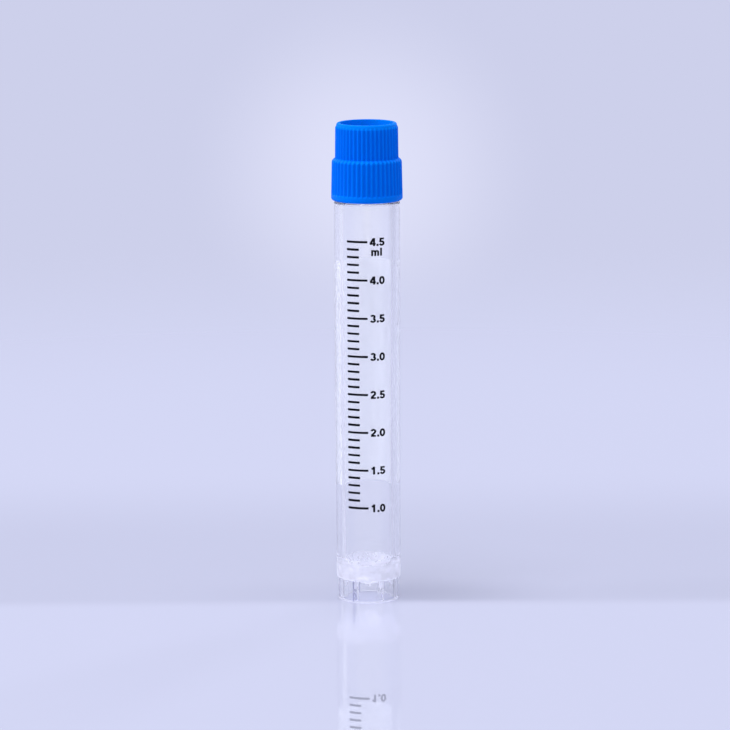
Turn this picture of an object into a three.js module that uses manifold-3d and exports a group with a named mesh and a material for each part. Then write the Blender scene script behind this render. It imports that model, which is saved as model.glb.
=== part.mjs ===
// A 5 ml cryogenic vial that stands on its own foot: a clear moulded tube with an outside thread,
// a blue screw cap with two ribbed tiers, and a silicone gasket that seals between them.
// Millimetres, +Z up. The origin is the centre of the foot's base ring, and the side that carries
// the graduations faces -Y.

import * as THREE from 'three';
import { mergeVertices } from 'three/addons/utils/BufferGeometryUtils.js';
import Module from 'manifold-3d';

const wasm = await Module();
wasm.setup();

// ---- Tube: body and foot ----

const shoulderHeight = 77.05; // base ring to the shoulder
const bodyTopRadius = 6.25; // outside, at the shoulder
const bodyDraft = 0.11; // how much the body narrows down to the foot
const shoulderRounding = 0.4;

const footHeight = 4.3; // base ring to the step under the body
const footInset = 0.29; // how far the skirt stands in from the body
const footWall = 0.9;
const footEdge = 0.15; // small chamfers on the base ring
const footRibCount = 6; // ribs that stop the vial turning in a rack
const footRibThickness = 0.55;
const footRibDepth = 1.0; // how far a rib stands in from the skirt
const footRibLift = 0.15; // ribs start just above the base ring

// ---- Tube: cavity ----

const boreTopRadius = 4.75;
const boreDraft = 0.3; // how much the bore narrows down to the round bottom
const cavityFloor = 4.0; // base ring to the lowest point inside
const floorThickness = 1.2;
const domeRadius = 6.1; // curve of the floor's underside
const ledgeWidth = 0.35; // rounded corner between the underside and the skirt

// ---- Tube: neck and its thread ----

const neckHeight = 7.7; // shoulder to mouth
const neckRadius = 5.45; // root of the thread
const mouthRounding = 0.25;
const threadLead = 5.0; // rise for one turn
const threadStarts = 2;
const threadRidgeRadius = 0.5; // the ridges have a round section
const threadRidgeHeight = 0.4;
const neckThreadLift = 1.5; // shoulder to the first ridge's centre line
const neckThreadRise = 4.85;

// ---- Gasket ----

const gasketThickness = 1.0;
const gasketWidth = 0.65; // from its bore to its rim
const gasketPlugClearance = 0.1; // radial, round the plug
const gasketPocketClearance = 0.05; // radial, inside its pocket
const gasketSeatGap = 0.05; // to the mouth below and to the web above
const gasketRounding = 0.12;

// ---- Cap ----

const capShoulderGap = 0.2; // cap's bottom edge to the shoulder
const capWall = 0.47; // from the thread's root to the ribs' root, at the step
const capEdgeRounding = 0.5; // bottom edge
const threadRadialClearance = 0.13; // each thread's crest to the other's root
const threadFlankClearance = 0.15; // between the flanks that pull the cap down
const capThreadLift = 1.2; // bottom edge to the first ridge's centre line
const capThreadRise = 4.3;
const lowerTierHeight = 7.5; // bottom edge to the step between the tiers
const lowerTierDraft = 0.15;
const lowerBandHeight = 1.3; // plain band below the lower ribs
const stepHeight = 0.65;
const upperTierDraft = 0.08;
const rimHeight = 0.5; // plain rim above the upper ribs, which stand out from it
const ribRunOut = 0.45; // sloping upper ends of the upper ribs
const rimRounding = 0.3;
const ribCount = 45; // on each tier
const ribHeight = 0.2;
const ribShare = 0.42; // of the pitch, at a rib's foot
const ribCrestShare = 0.2; // of the pitch, at its crest

const recessRadius = 5.05; // open recess in the cap's top, for a colour insert
const recessDepth = 5.0;
const recessDraft = 0.1;
const recessRounding = 0.3;
const rimWall = 0.7; // recess to the upper ribs' root
const webThickness = 1.15;

const plugBoreClearance = 0.3; // radial, inside the mouth
const plugReach = 2.4; // below the mouth
const plugWall = 1.0;
const plugChamfer = 0.35;

// ---- Levels and radii that follow ----

const mouthHeight = shoulderHeight + neckHeight;
const footRadius = bodyTopRadius - bodyDraft - footInset;
const footInnerRadius = footRadius - footWall;
const boreBaseRadius = boreTopRadius - boreDraft;
const cavityCentre = cavityFloor + boreBaseRadius;
const domeLowest = cavityFloor - floorThickness;
const ledgeRadius = footInnerRadius - ledgeWidth;
const ledgeHeight = domeLowest + domeRadius - Math.sqrt(domeRadius ** 2 - ledgeRadius ** 2);
const neckCrestRadius = neckRadius + threadRidgeHeight;
const neckRidgeCentre = neckCrestRadius - threadRidgeRadius;

const gasketBottom = mouthHeight + gasketSeatGap;
const gasketTop = gasketBottom + gasketThickness;
const webUnderside = gasketTop + gasketSeatGap;
const recessFloor = webUnderside + webThickness;
const capTop = recessFloor + recessDepth;
const capBottom = shoulderHeight + capShoulderGap;
const tierStep = capBottom + lowerTierHeight;
const upperTierBottom = tierStep + stepHeight;
const plugRadius = boreTopRadius - plugBoreClearance;
const plugBottom = mouthHeight - plugReach;

const capRootRadius = neckCrestRadius + threadRadialClearance;
const capCrestRadius = neckRadius + threadRadialClearance;
const capRidgeCentre = capCrestRadius + threadRidgeRadius;
const lowerRootRadius = capRootRadius + capWall;
const lowerCrestRadius = lowerRootRadius + ribHeight;
const upperRootRadius = recessRadius + rimWall;
const upperCrestRadius = upperRootRadius + ribHeight;
const gasketInnerRadius = plugRadius + gasketPlugClearance;
const gasketOuterRadius = gasketInnerRadius + gasketWidth;
const pocketRadius = gasketOuterRadius + gasketPocketClearance;

// The flanks that carry the load touch where two round sections lie one clearance apart.
const flankReach = 2 * threadRidgeRadius + threadFlankClearance;
const threadOffset = Math.sqrt(flankReach ** 2 - (capRidgeCentre - neckRidgeCentre) ** 2);

// ---- Facets ----

const tubeSegments = 48;
const capSegments = ribCount; // the cap's turned facets meet under the middle of each rib
const threadStepsPerTurn = 30;
const threadSides = 8;
const buried = 0.3; // how far an added shape starts inside the wall that it stands on
const clear = 1.0; // how far a cutter runs past the face that it opens
const grooveOverrun = 0.05; // the same for the flanks of the ribs, which would meet further out

// ---- Helpers ----

const point = (radius, height) => new THREE.Vector2(radius, height);

function arcPoints(centreRadius, centreHeight, radius, fromDegrees, toDegrees, steps) {
  const points = [];
  for (let i = 0; i <= steps; i++) {
    const angle = THREE.MathUtils.degToRad(fromDegrees + (toDegrees - fromDegrees) * (i / steps));
    points.push(point(centreRadius + radius * Math.cos(angle), centreHeight + radius * Math.sin(angle)));
  }
  return points;
}

// Profiles run with the material on their left, so the turned faces point out.
function turned(profile, segments) {
  return new THREE.LatheGeometry(profile, segments).rotateX(Math.PI / 2);
}

function toSolid(geometry) {
  const bare = geometry.clone();
  bare.deleteAttribute('normal');
  bare.deleteAttribute('uv');
  const merged = mergeVertices(bare, 1e-5);
  const vertProperties = new Float32Array(merged.attributes.position.array);
  const triVerts = [];
  const index = merged.index.array;
  for (let i = 0; i < index.length; i += 3) {
    const [a, b, c] = [index[i], index[i + 1], index[i + 2]];
    if (a !== b && b !== c && c !== a) triVerts.push(a, b, c);
  }
  return new wasm.Manifold(
    new wasm.Mesh({ numProp: 3, vertProperties, triVerts: new Uint32Array(triVerts) }),
  );
}

function toGeometry(solid) {
  const mesh = solid.getMesh();
  const geometry = new THREE.BufferGeometry();
  geometry.setAttribute('position', new THREE.BufferAttribute(new Float32Array(mesh.vertProperties), 3));
  geometry.setIndex(Array.from(mesh.triVerts));
  geometry.computeVertexNormals();
  return geometry;
}

// ---- Thread ----

// A right-handed helix about +Z. Every ridge of both threads lies on one family of helices, which is
// fixed by the height at which the ridge would cross the +X side.
class Helix extends THREE.Curve {
  constructor(radius, crossing, from, rise) {
    super();
    Object.assign(this, { radius, crossing, from, rise });
  }

  getPoint(share, target = new THREE.Vector3()) {
    const height = this.from + this.rise * share;
    const angle = ((height - this.crossing) / threadLead) * 2 * Math.PI;
    return target.set(this.radius * Math.cos(angle), this.radius * Math.sin(angle), height);
  }
}

function threadRidges(radius, crossing, from, rise) {
  const section = new THREE.Shape().absarc(0, 0, threadRidgeRadius, 0, 2 * Math.PI, false);
  const steps = Math.round((rise / threadLead) * threadStepsPerTurn);
  const ridges = [];
  for (let start = 0; start < threadStarts; start++) {
    const extrudePath = new Helix(radius, crossing + (threadLead / threadStarts) * start, from, rise);
    const options = { steps, extrudePath, bevelEnabled: false, curveSegments: threadSides / 2 };
    ridges.push(toSolid(new THREE.ExtrudeGeometry(section, options)));
  }
  return ridges;
}

// ---- Tube ----

function tubeOutside() {
  const domeAngle = THREE.MathUtils.radToDeg(Math.asin(ledgeRadius / domeRadius));
  const stepRounding = footInset / 2;
  const shoulderCentre = shoulderHeight - shoulderRounding;
  return turned(
    [
      ...arcPoints(0, domeLowest + domeRadius, domeRadius, -90, domeAngle - 90, 5),
      point(footInnerRadius, ledgeHeight - ledgeWidth),
      point(footInnerRadius, footEdge),
      point(footInnerRadius + footEdge, 0),
      point(footRadius - footEdge, 0),
      point(footRadius, footEdge),
      point(footRadius, footHeight),
      point(footRadius + stepRounding, footHeight),
      point(footRadius + footInset, footHeight + stepRounding),
      ...arcPoints(bodyTopRadius - shoulderRounding, shoulderCentre, shoulderRounding, 0, 90, 3),
      point(neckRadius, shoulderHeight),
      ...arcPoints(neckRadius - mouthRounding, mouthHeight - mouthRounding, mouthRounding, 0, 90, 3),
      point(0, mouthHeight),
    ],
    tubeSegments,
  );
}

function tubeCavity() {
  return turned(
    [
      ...arcPoints(0, cavityCentre, boreBaseRadius, -90, 0, 9),
      point(boreTopRadius, mouthHeight - mouthRounding),
      point(boreTopRadius + mouthRounding / 2, mouthHeight),
      point(boreTopRadius + mouthRounding / 2, mouthHeight + clear),
      point(0, mouthHeight + clear),
    ],
    tubeSegments,
  );
}

// Radial ribs inside the skirt, which reach up into the floor of the vial.
function footRibs() {
  const length = footRibDepth + footWall / 2;
  const height = ledgeHeight + buried - footRibLift;
  const ribs = [];
  for (let i = 0; i < footRibCount; i++) {
    const angle = (i / footRibCount) * 2 * Math.PI;
    const rib = new THREE.BoxGeometry(length, footRibThickness, height);
    rib.translate(footInnerRadius - footRibDepth + length / 2, 0, footRibLift + height / 2);
    ribs.push(toSolid(rib.rotateZ(angle)));
  }
  return ribs;
}

function buildTube() {
  const from = shoulderHeight + neckThreadLift;
  const ridges = threadRidges(neckRidgeCentre, from, from, neckThreadRise);
  const outside = [...footRibs(), ...ridges].reduce((solid, extra) => solid.add(extra), toSolid(tubeOutside()));
  return toGeometry(outside.subtract(toSolid(tubeCavity())));
}

// ---- Gasket ----

function buildGasket() {
  const profile = [
    point(gasketInnerRadius, gasketBottom),
    point(gasketOuterRadius - gasketRounding, gasketBottom),
    point(gasketOuterRadius, gasketBottom + gasketRounding),
    point(gasketOuterRadius, gasketTop - gasketRounding),
    point(gasketOuterRadius - gasketRounding, gasketTop),
    point(gasketInnerRadius, gasketTop),
    point(gasketInnerRadius, gasketBottom),
  ];
  return toGeometry(toSolid(turned(profile, tubeSegments)));
}

// ---- Cap ----

// The cap before its grooves are cut: both tiers reach out to the crests of their ribs, and the rim
// lies at their roots.
function capOutside() {
  const edgeRadius = lowerCrestRadius + lowerTierDraft - capEdgeRounding;
  return turned(
    [
      point(0, capBottom),
      ...arcPoints(edgeRadius, capBottom + capEdgeRounding, capEdgeRounding, -90, 0, 3),
      point(lowerCrestRadius, tierStep),
      point(upperCrestRadius + upperTierDraft, upperTierBottom),
      point(upperCrestRadius, capTop - rimHeight - ribRunOut),
      point(upperRootRadius, capTop - rimHeight),
      ...arcPoints(upperRootRadius - rimRounding, capTop - rimRounding, rimRounding, 0, 90, 3),
      point(0, capTop),
    ],
    capSegments,
  );
}

// A ring whose inside is the ribbed outline. Cut from a tier, it leaves the ribs standing. Its top is
// drawn in by the tier's draft.
function groovesBetweenRibs(bottomRoot, draft, from, to) {
  const pitch = (2 * Math.PI) / ribCount;
  const corners = [];
  for (let i = 0; i < ribCount; i++) {
    const middle = i * pitch - Math.PI / 2;
    const foot = (pitch * ribShare) / 2;
    const slope = (pitch * (ribShare - ribCrestShare)) / 2 / ribHeight;
    const crest = foot - slope * (ribHeight + grooveOverrun);
    const outer = bottomRoot + ribHeight + grooveOverrun;
    corners.push([bottomRoot, middle - foot], [outer, middle - crest]);
    corners.push([outer, middle + crest], [bottomRoot, middle + foot]);
  }
  const ring = new THREE.Shape().absarc(0, 0, bottomRoot + ribHeight + clear, 0, 2 * Math.PI, false);
  const ribbed = corners.map(([radius, angle]) => point(radius * Math.cos(angle), radius * Math.sin(angle)));
  ring.holes.push(new THREE.Path(ribbed));
  const prism = new THREE.ExtrudeGeometry(ring, { depth: to - from, bevelEnabled: false });
  const places = prism.attributes.position;
  const narrowing = 1 - draft / bottomRoot;
  for (let i = 0; i < places.count; i++) {
    if (places.getZ(i) > 0) places.setXY(i, places.getX(i) * narrowing, places.getY(i) * narrowing);
  }
  return toSolid(prism.translate(0, 0, from));
}

// The lower grooves run out through the cone between the tiers, and the upper ones stop on it.
function capGrooves() {
  const bandTop = capBottom + lowerBandHeight;
  const draftPerHeight = lowerTierDraft / (lowerTierHeight - capEdgeRounding);
  const lowerRoot = lowerRootRadius + draftPerHeight * (tierStep - bandTop);
  const lowerDraft = draftPerHeight * (upperTierBottom - bandTop);
  const upperRoot = upperRootRadius + upperTierDraft;
  return [
    groovesBetweenRibs(lowerRoot, lowerDraft, bandTop, upperTierBottom),
    groovesBetweenRibs(upperRoot, upperTierDraft, upperTierBottom, capTop - rimHeight),
  ];
}

// Everything under the web: the threaded skirt's inside, the gasket's pocket and the ring round the plug.
function capUnderside() {
  const leadIn = (neckCrestRadius - neckRadius) / 2;
  return turned(
    [
      point(plugRadius, webUnderside),
      point(plugRadius, plugBottom + plugChamfer),
      point(plugRadius - plugChamfer, plugBottom),
      point(plugRadius - plugWall, plugBottom),
      point(plugRadius - plugWall, webUnderside),
      point(0, webUnderside),
      point(0, capBottom - clear),
      point(capRootRadius + leadIn, capBottom - clear),
      point(capRootRadius + leadIn, capBottom),
      point(capRootRadius, capBottom + leadIn),
      point(capRootRadius, mouthHeight - mouthRounding),
      point(pocketRadius, gasketBottom),
      point(pocketRadius, webUnderside),
      point(plugRadius, webUnderside),
    ],
    capSegments,
  );
}

function capRecess() {
  const bottomRadius = recessRadius - recessDraft;
  return turned(
    [
      point(0, recessFloor),
      ...arcPoints(bottomRadius - recessRounding, recessFloor + recessRounding, recessRounding, -90, 0, 2),
      point(recessRadius, capTop - recessRounding / 2),
      point(recessRadius + recessRounding / 2, capTop),
      point(recessRadius + recessRounding / 2, capTop + clear),
      point(0, capTop + clear),
    ],
    capSegments,
  );
}

// The inside ridges, cut off within the wall so that they never show outside.
function capRidges() {
  const from = capBottom + capThreadLift;
  const neckCrossing = shoulderHeight + neckThreadLift;
  const ridges = threadRidges(capRidgeCentre, neckCrossing - threadOffset, from, capThreadRise);
  const wall = turned(
    [
      point(0, capBottom),
      point(capRootRadius + buried, capBottom),
      point(capRootRadius + buried, mouthHeight),
      point(0, mouthHeight),
    ],
    capSegments,
  );
  return ridges.map((ridge) => ridge.intersect(toSolid(wall)));
}

function buildCap() {
  const cutters = [...capGrooves(), toSolid(capUnderside()), toSolid(capRecess())];
  const hollow = cutters.reduce((solid, cutter) => solid.subtract(cutter), toSolid(capOutside()));
  return toGeometry(capRidges().reduce((solid, ridge) => solid.add(ridge), hollow));
}

// ---- Assembly ----

const clearPlastic = { color: 0xe6ebf5, roughness: 0.12, metalness: 0, transparent: true, opacity: 0.3 };
const bluePlastic = { color: 0x0a5fe0, roughness: 0.35, metalness: 0 };
const silicone = { color: 0xe4e4e0, roughness: 0.6, metalness: 0 };

function named(name, geometry, look) {
  const mesh = new THREE.Mesh(geometry, new THREE.MeshStandardMaterial(look));
  mesh.name = name;
  return mesh;
}

const cryovial = new THREE.Group();
cryovial.name = 'cryovial';
cryovial.add(named('tube', buildTube(), clearPlastic));
cryovial.add(named('gasket', buildGasket(), silicone));
cryovial.add(named('cap', buildCap(), bluePlastic));

export default cryovial;
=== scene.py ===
# %% [markdown]
# # A clear sample vial with a blue screw cap
#
# The vial is a slim tube moulded in clear plastic. It stands on a short skirt, and carries a printed
# scale, a white field to write on, a silicone gasket and a ribbed blue cap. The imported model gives
# every size and place. This lesson makes the fine surfaces round it: turned skins with ribs and
# threads, printed films, materials, floor and light.

import math
import random

import bmesh
import bpy
import numpy as np
from mathutils import Matrix, Vector


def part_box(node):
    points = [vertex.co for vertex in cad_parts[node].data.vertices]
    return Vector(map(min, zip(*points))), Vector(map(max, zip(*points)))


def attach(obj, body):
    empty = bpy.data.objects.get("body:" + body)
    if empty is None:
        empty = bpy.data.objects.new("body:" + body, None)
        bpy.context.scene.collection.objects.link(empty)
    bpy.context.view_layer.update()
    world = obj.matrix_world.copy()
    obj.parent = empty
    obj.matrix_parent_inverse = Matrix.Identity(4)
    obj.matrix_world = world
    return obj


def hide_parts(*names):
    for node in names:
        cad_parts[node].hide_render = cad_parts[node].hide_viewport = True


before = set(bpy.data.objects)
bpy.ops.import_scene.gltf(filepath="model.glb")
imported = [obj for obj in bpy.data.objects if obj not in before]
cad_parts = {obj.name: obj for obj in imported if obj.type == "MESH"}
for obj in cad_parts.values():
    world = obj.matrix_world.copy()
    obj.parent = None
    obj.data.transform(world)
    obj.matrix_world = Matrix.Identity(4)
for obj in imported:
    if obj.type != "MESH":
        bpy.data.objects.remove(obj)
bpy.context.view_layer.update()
MM = 0.001
tube_low, tube_high = (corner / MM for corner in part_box("tube"))
cap_low, cap_high = (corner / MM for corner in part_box("cap"))
gasket_low, gasket_high = (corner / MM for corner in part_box("gasket"))
print("tube", tuple(tube_high), "cap", tuple(cap_high), "in mm")

# %% [markdown]
# ## The camera
#
# A small object is pictured from a distance with a long lens, so that its sides stay nearly parallel.
# The camera looks down by ten degrees and shows the open top of the cap as a narrow ellipse. It is
# made first, because everything after it is judged through it.

# %% Camera
CAMERA_DISTANCE = 800 * MM
CAMERA_HEIGHT = 185 * MM
CAMERA_SIDE = -0.52 * MM
CAMERA_PITCH = 9.9
CAMERA_ROLL = -0.28
CAMERA_LENS = 209.49
SENSOR_WIDTH = 36
NEAREST_SEEN = 0.01

lens = bpy.data.cameras.new("camera")
lens.lens = CAMERA_LENS
lens.sensor_width = SENSOR_WIDTH
lens.clip_start = NEAREST_SEEN
camera = bpy.data.objects.new("camera", lens)
bpy.context.scene.collection.objects.link(camera)
tilt = Matrix.Rotation(math.radians(90 - CAMERA_PITCH), 4, "X")
roll = Matrix.Rotation(math.radians(CAMERA_ROLL), 4, "Z")
place = Matrix.Translation((CAMERA_SIDE, -CAMERA_DISTANCE, CAMERA_HEIGHT))
camera.matrix_world = place @ tilt @ roll
bpy.context.scene.camera = camera
print("camera", lens.lens, "mm lens at", tuple(camera.location))

# %% [markdown]
# ## Skins from rows and columns
#
# The tube, gasket and cap are all bodies of revolution with something added: ribs, a thread, a gate
# mark. They could be turned and then cut with booleans, but booleans leave long thin triangles that
# show in clear plastic. Here each body is one grid instead. A row is a circle of the outline, and its
# radius and height may vary with the angle, so a rib or a thread is only a row that isn't quite round.

# %% Outline helpers
HOLD = 0.04
HOLD_SHARE = 0.2


def straight(start, end, steps):
    """Points from start towards end, without end.

    A long wall also gets a row close to each end, which keeps its middle flat under smooth shading.
    """
    (r0, z0), (r1, z1) = start, end
    shares = [i / steps for i in range(steps)]
    hold = HOLD / math.hypot(r1 - r0, z1 - z0)
    if hold < HOLD_SHARE / steps:
        shares = [0, hold] + shares[1:] + [1 - hold]
    return [(r0 + (r1 - r0) * share, z0 + (z1 - z0) * share) for share in shares]


def arc(centre, radius, start, end, steps):
    """Points round an arc from one angle to another in degrees, without the last."""
    angles = [math.radians(start + (end - start) * i / steps) for i in range(steps)]
    return [(centre[0] + radius * math.cos(a), centre[1] + radius * math.sin(a)) for a in angles]


def smooth(low, high, value):
    """0 below low, 1 above high, and an easy curve between."""
    share = np.clip((value - low) / (high - low), 0, 1)
    return share * share * (3 - 2 * share)


# %% Show a closed mesh
SHARP = math.radians(38)


def show(name, mesh):
    """Puts a closed mesh in the scene, smooth apart from its sharp edges, and prints what it measures."""
    mesh.validate()
    mesh.shade_smooth()
    mesh.set_sharp_from_angle(angle=SHARP)
    piece = bpy.data.objects.new(name, mesh)
    bpy.context.scene.collection.objects.link(piece)
    measured = bmesh.new()
    measured.from_mesh(mesh)
    open_edges = sum(not edge.is_manifold for edge in measured.edges)
    volume = measured.calc_volume(signed=True) / MM**3
    print(name, len(mesh.polygons), "faces,", round(volume, 2), "mm3,", open_edges, "open edges")
    measured.free()
    return piece


# %% Skin
def skin(name, angles, rows, looped=False):
    """A closed body from rows of (radius, height) in mm.

    Its first and last rows lie on the axis, unless it is looped.
    """
    columns = len(angles)
    rings = rows if looped else rows[1:-1]
    grid = np.empty((len(rings), columns, 3))
    for ring, (radius, height) in zip(grid, rings):
        ring[:, 0] = radius * np.cos(angles)
        ring[:, 1] = radius * np.sin(angles)
        ring[:, 2] = height
    here = np.arange(columns)
    after = np.roll(here, -1)
    faces = []
    for i in range(len(rings) if looped else len(rings) - 1):
        low = i * columns
        high = (i + 1) % len(rings) * columns
        faces += np.stack([low + here, low + after, high + after, high + here], axis=1).tolist()
    points = grid.reshape(-1, 3)
    if not looped:
        first, last = len(points), len(points) + 1
        ends = [[0, 0, float(np.mean(rows[0][1]))], [0, 0, float(np.mean(rows[-1][1]))]]
        points = np.concatenate([points, ends])
        top = (len(rings) - 1) * columns
        faces += [[first, int(b), int(a)] for a, b in zip(here, after)]
        faces += [[last, int(top + a), int(top + b)] for a, b in zip(here, after)]
    mesh = bpy.data.meshes.new(name)
    mesh.from_pydata((points * MM).tolist(), [], faces)
    return show(name, mesh)


# %% [markdown]
# ## The screw thread
#
# Tube and cap share one thread: two starts, right-handed, 5 mm for each turn. Each ridge has a round
# section that stands out of its wall. A ridge could be swept along a helix as a body of its own, but
# then it would have to be joined to the wall. Instead a wall row asks this function how far the ridge
# stands out at each angle, and the ridge fades in and out at its ends as a moulded one does.

# %% Thread
THREAD_LEAD = 5.0
THREAD_STARTS = 2
RIDGE_RADIUS = 0.5
RIDGE_HEIGHT = 0.4
RIDGE_FADE = 0.2


def ridge(angles, height, crossing, lowest, highest):
    """How far the thread's ridges stand out of a wall at one height, for each angle."""
    spacing = THREAD_LEAD / THREAD_STARTS
    turns = (height - crossing) / spacing - angles * THREAD_STARTS / (2 * math.pi)
    above = (turns - np.round(turns)) * spacing
    centre = height - above
    section = np.sqrt(np.maximum(RIDGE_RADIUS**2 - above**2, 0)) - (RIDGE_RADIUS - RIDGE_HEIGHT)
    fade = smooth(lowest - RIDGE_FADE, lowest, centre) * smooth(highest + RIDGE_FADE, highest, centre)
    return np.maximum(section, 0) * fade


print("thread", THREAD_STARTS, "starts,", THREAD_LEAD, "mm for each turn")

# %% [markdown]
# ## The tube
#
# The tube is one moulding: neck, body, round inner bottom and the skirt that it stands on. Six short
# ribs inside the skirt lock it in a rack, and a small gate mark hangs below the round bottom. The
# thick plastic round the bottom bends light like a lens, so the inside and the outside both need
# their true form. The columns lie close together at the flanks of the ribs and apart between them.

# %% Tube sizes
BODY_RADIUS = tube_high.x
MOUTH = tube_high.z
SHOULDER = MOUTH - 7.7
BODY_DRAFT = 0.11
SHOULDER_ROUNDING = 0.4
NECK_RADIUS = 5.45
NECK_FILLET = 0.12
NECK_ROWS = 90
MOUTH_ROUNDING = 0.25
FOOT_HEIGHT = 4.3
FOOT_INSET = 0.29
FOOT_WALL = 0.9
FOOT_EDGE = 0.15
FOOT_FILLET = 0.1
FOOT_RADIUS = BODY_RADIUS - BODY_DRAFT - FOOT_INSET
FOOT_INNER_RADIUS = FOOT_RADIUS - FOOT_WALL
BODY_EDGE = FOOT_INSET / 2
BODY_BOTTOM = FOOT_HEIGHT + BODY_EDGE
BORE_TOP_RADIUS = 4.75
BORE_BASE_RADIUS = 4.45
CAVITY_FLOOR = 4.0
CAVITY_CENTRE = CAVITY_FLOOR + BORE_BASE_RADIUS
DOME_LOWEST = CAVITY_FLOOR - 1.2
DOME_RADIUS = 6.1
LEDGE_WIDTH = 0.35
NECK_CROSSING = SHOULDER + 1.5
NECK_THREAD_RISE = 4.85
FOOT_RIBS = 6
FOOT_RIB_DEPTH = 1.0
FOOT_RIB_LIFT = 0.15
RIB_TIP = FOOT_INNER_RADIUS - FOOT_RIB_DEPTH
RIB_FLAT = math.radians(2.9)
RIB_FOOT = math.radians(3.5)


def body_radius(height):
    """Outer radius of the tube's body, which widens upwards by its draft."""
    share = (height - FOOT_HEIGHT) / (SHOULDER - SHOULDER_ROUNDING - FOOT_HEIGHT)
    return BODY_RADIUS - BODY_DRAFT * (1 - share)


print("foot", round(FOOT_RADIUS, 2), "mm in radius, body", round(body_radius(BODY_BOTTOM), 2), "above it")


# %% Tube columns
def foot_rib_columns(between=22):
    """Angles all round, close together at the flanks of the ribs, and a mask that is 1 on the ribs."""
    sector = 2 * math.pi / FOOT_RIBS
    reach = 1.6 * RIB_FOOT
    flank = [RIB_FLAT / 3, RIB_FLAT, RIB_FOOT, reach]
    near = [-angle for angle in reversed(flank)] + flank
    far = [reach + (sector - 2 * reach) * (i + 1) / (between + 1) for i in range(between)]
    offsets = np.array(near + far)
    angles = np.concatenate([offsets + sector * i for i in range(FOOT_RIBS)])
    mask = np.tile((np.abs(offsets) <= RIB_FLAT * 1.01).astype(float), FOOT_RIBS)
    return angles, mask


tube_angles, rib_mask = foot_rib_columns()
print(len(tube_angles), "columns round the tube,", int(rib_mask.sum()), "of them on the ribs")


# %% Underside of the tube
def under_dome(radius):
    """Height of the round underside of the floor at a radius."""
    return DOME_LOWEST + DOME_RADIUS - math.sqrt(DOME_RADIUS**2 - radius**2)


def gate_mark(angles):
    """The torn stub of the moulding gate, under the middle of the floor."""
    lean = 1 + 0.35 * np.cos(angles - 0.6)
    return [
        (0.0, DOME_LOWEST - 0.55),
        (0.16 * lean, DOME_LOWEST - 0.52),
        (0.30 * lean, DOME_LOWEST - 0.34 - 0.12 * np.cos(angles)),
        (0.34 * lean, DOME_LOWEST - 0.1),
        (0.44 * lean, DOME_LOWEST - 0.06),
        (0.80, DOME_LOWEST - 0.06),
        (0.88, under_dome(0.88)),
    ]


def rib_zone(mask):
    """Rows from the dome down to the foot's edge, which run down the wall or round a rib."""
    ledge = FOOT_INNER_RADIUS - LEDGE_WIDTH
    turn = under_dome(ledge) - LEDGE_WIDTH
    shelf = [RIB_TIP + (ledge - RIB_TIP) * i / 3 for i in range(3)] + [ledge]
    wall = [(radius, under_dome(radius)) for radius in shelf]
    wall += straight((FOOT_INNER_RADIUS, turn), (FOOT_INNER_RADIUS, FOOT_RIB_LIFT), 8)
    rib = straight((RIB_TIP, under_dome(RIB_TIP)), (RIB_TIP, FOOT_RIB_LIFT), 9)
    rib += straight((RIB_TIP, FOOT_RIB_LIFT), (FOOT_INNER_RADIUS, FOOT_RIB_LIFT), 1)
    return [
        (wr * (1 - mask) + rr * mask, wz * (1 - mask) + rz * mask)
        for (wr, wz), (rr, rz) in zip(wall, rib)
    ]


# %% Outside of the tube
def foot_rows():
    """Rows round the edge that the vial stands on, up to where the body juts out over the foot."""
    inner, outer = FOOT_INNER_RADIUS + FOOT_EDGE, FOOT_RADIUS - FOOT_EDGE
    rows = arc((inner, FOOT_EDGE), FOOT_EDGE, 180, 270, 4)
    rows += straight((inner, 0), (outer, 0), 3)
    rows += arc((outer, FOOT_EDGE), FOOT_EDGE, -90, 0, 4)
    rows += straight((FOOT_RADIUS, FOOT_EDGE), (FOOT_RADIUS, FOOT_HEIGHT - FOOT_FILLET), 4)
    rows += arc((FOOT_RADIUS + FOOT_FILLET, FOOT_HEIGHT - FOOT_FILLET), FOOT_FILLET, 180, 90, 3)
    return rows + arc((FOOT_RADIUS + FOOT_INSET - BODY_EDGE, BODY_BOTTOM), BODY_EDGE, -90, 0, 4)


def body_rows():
    """Rows up the body and over its shoulder to the foot of the neck."""
    top = SHOULDER - SHOULDER_ROUNDING
    flat = BODY_RADIUS - SHOULDER_ROUNDING
    rows = straight((body_radius(BODY_BOTTOM), BODY_BOTTOM), (BODY_RADIUS, top), 12)
    rows += arc((flat, top), SHOULDER_ROUNDING, 0, 90, 10)
    rows += [(flat, SHOULDER), (flat - HOLD, SHOULDER)]
    return rows + arc((NECK_RADIUS + NECK_FILLET, SHOULDER + NECK_FILLET), NECK_FILLET, 270, 180, 3)


def neck_rows(angles):
    """Rows up the neck with its thread, and over the outer edge of the mouth."""
    top = MOUTH - MOUTH_ROUNDING
    highest = NECK_CROSSING + NECK_THREAD_RISE
    rows = []
    for height in np.linspace(SHOULDER + NECK_FILLET, top, NECK_ROWS, endpoint=False):
        out = ridge(angles, height, NECK_CROSSING, NECK_CROSSING, highest)
        rows.append((NECK_RADIUS + out, height))
    rows += arc((NECK_RADIUS - MOUTH_ROUNDING, top), MOUTH_ROUNDING, 0, 90, 6)
    return rows + [(NECK_RADIUS - MOUTH_ROUNDING, MOUTH)]


# %% Tube
def bore_rows():
    """Rows from the inner edge of the mouth down the bore to the middle of its round bottom."""
    lip = MOUTH_ROUNDING / 2
    rows = arc((BORE_TOP_RADIUS + lip, MOUTH - lip), lip, 90, 180, 4)
    rows += straight((BORE_TOP_RADIUS, MOUTH - lip), (BORE_BASE_RADIUS, CAVITY_CENTRE), 14)
    rows += arc((0, CAVITY_CENTRE), BORE_BASE_RADIUS, 0, -87, 26)
    return rows + [(0.0, CAVITY_FLOOR)]


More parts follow.
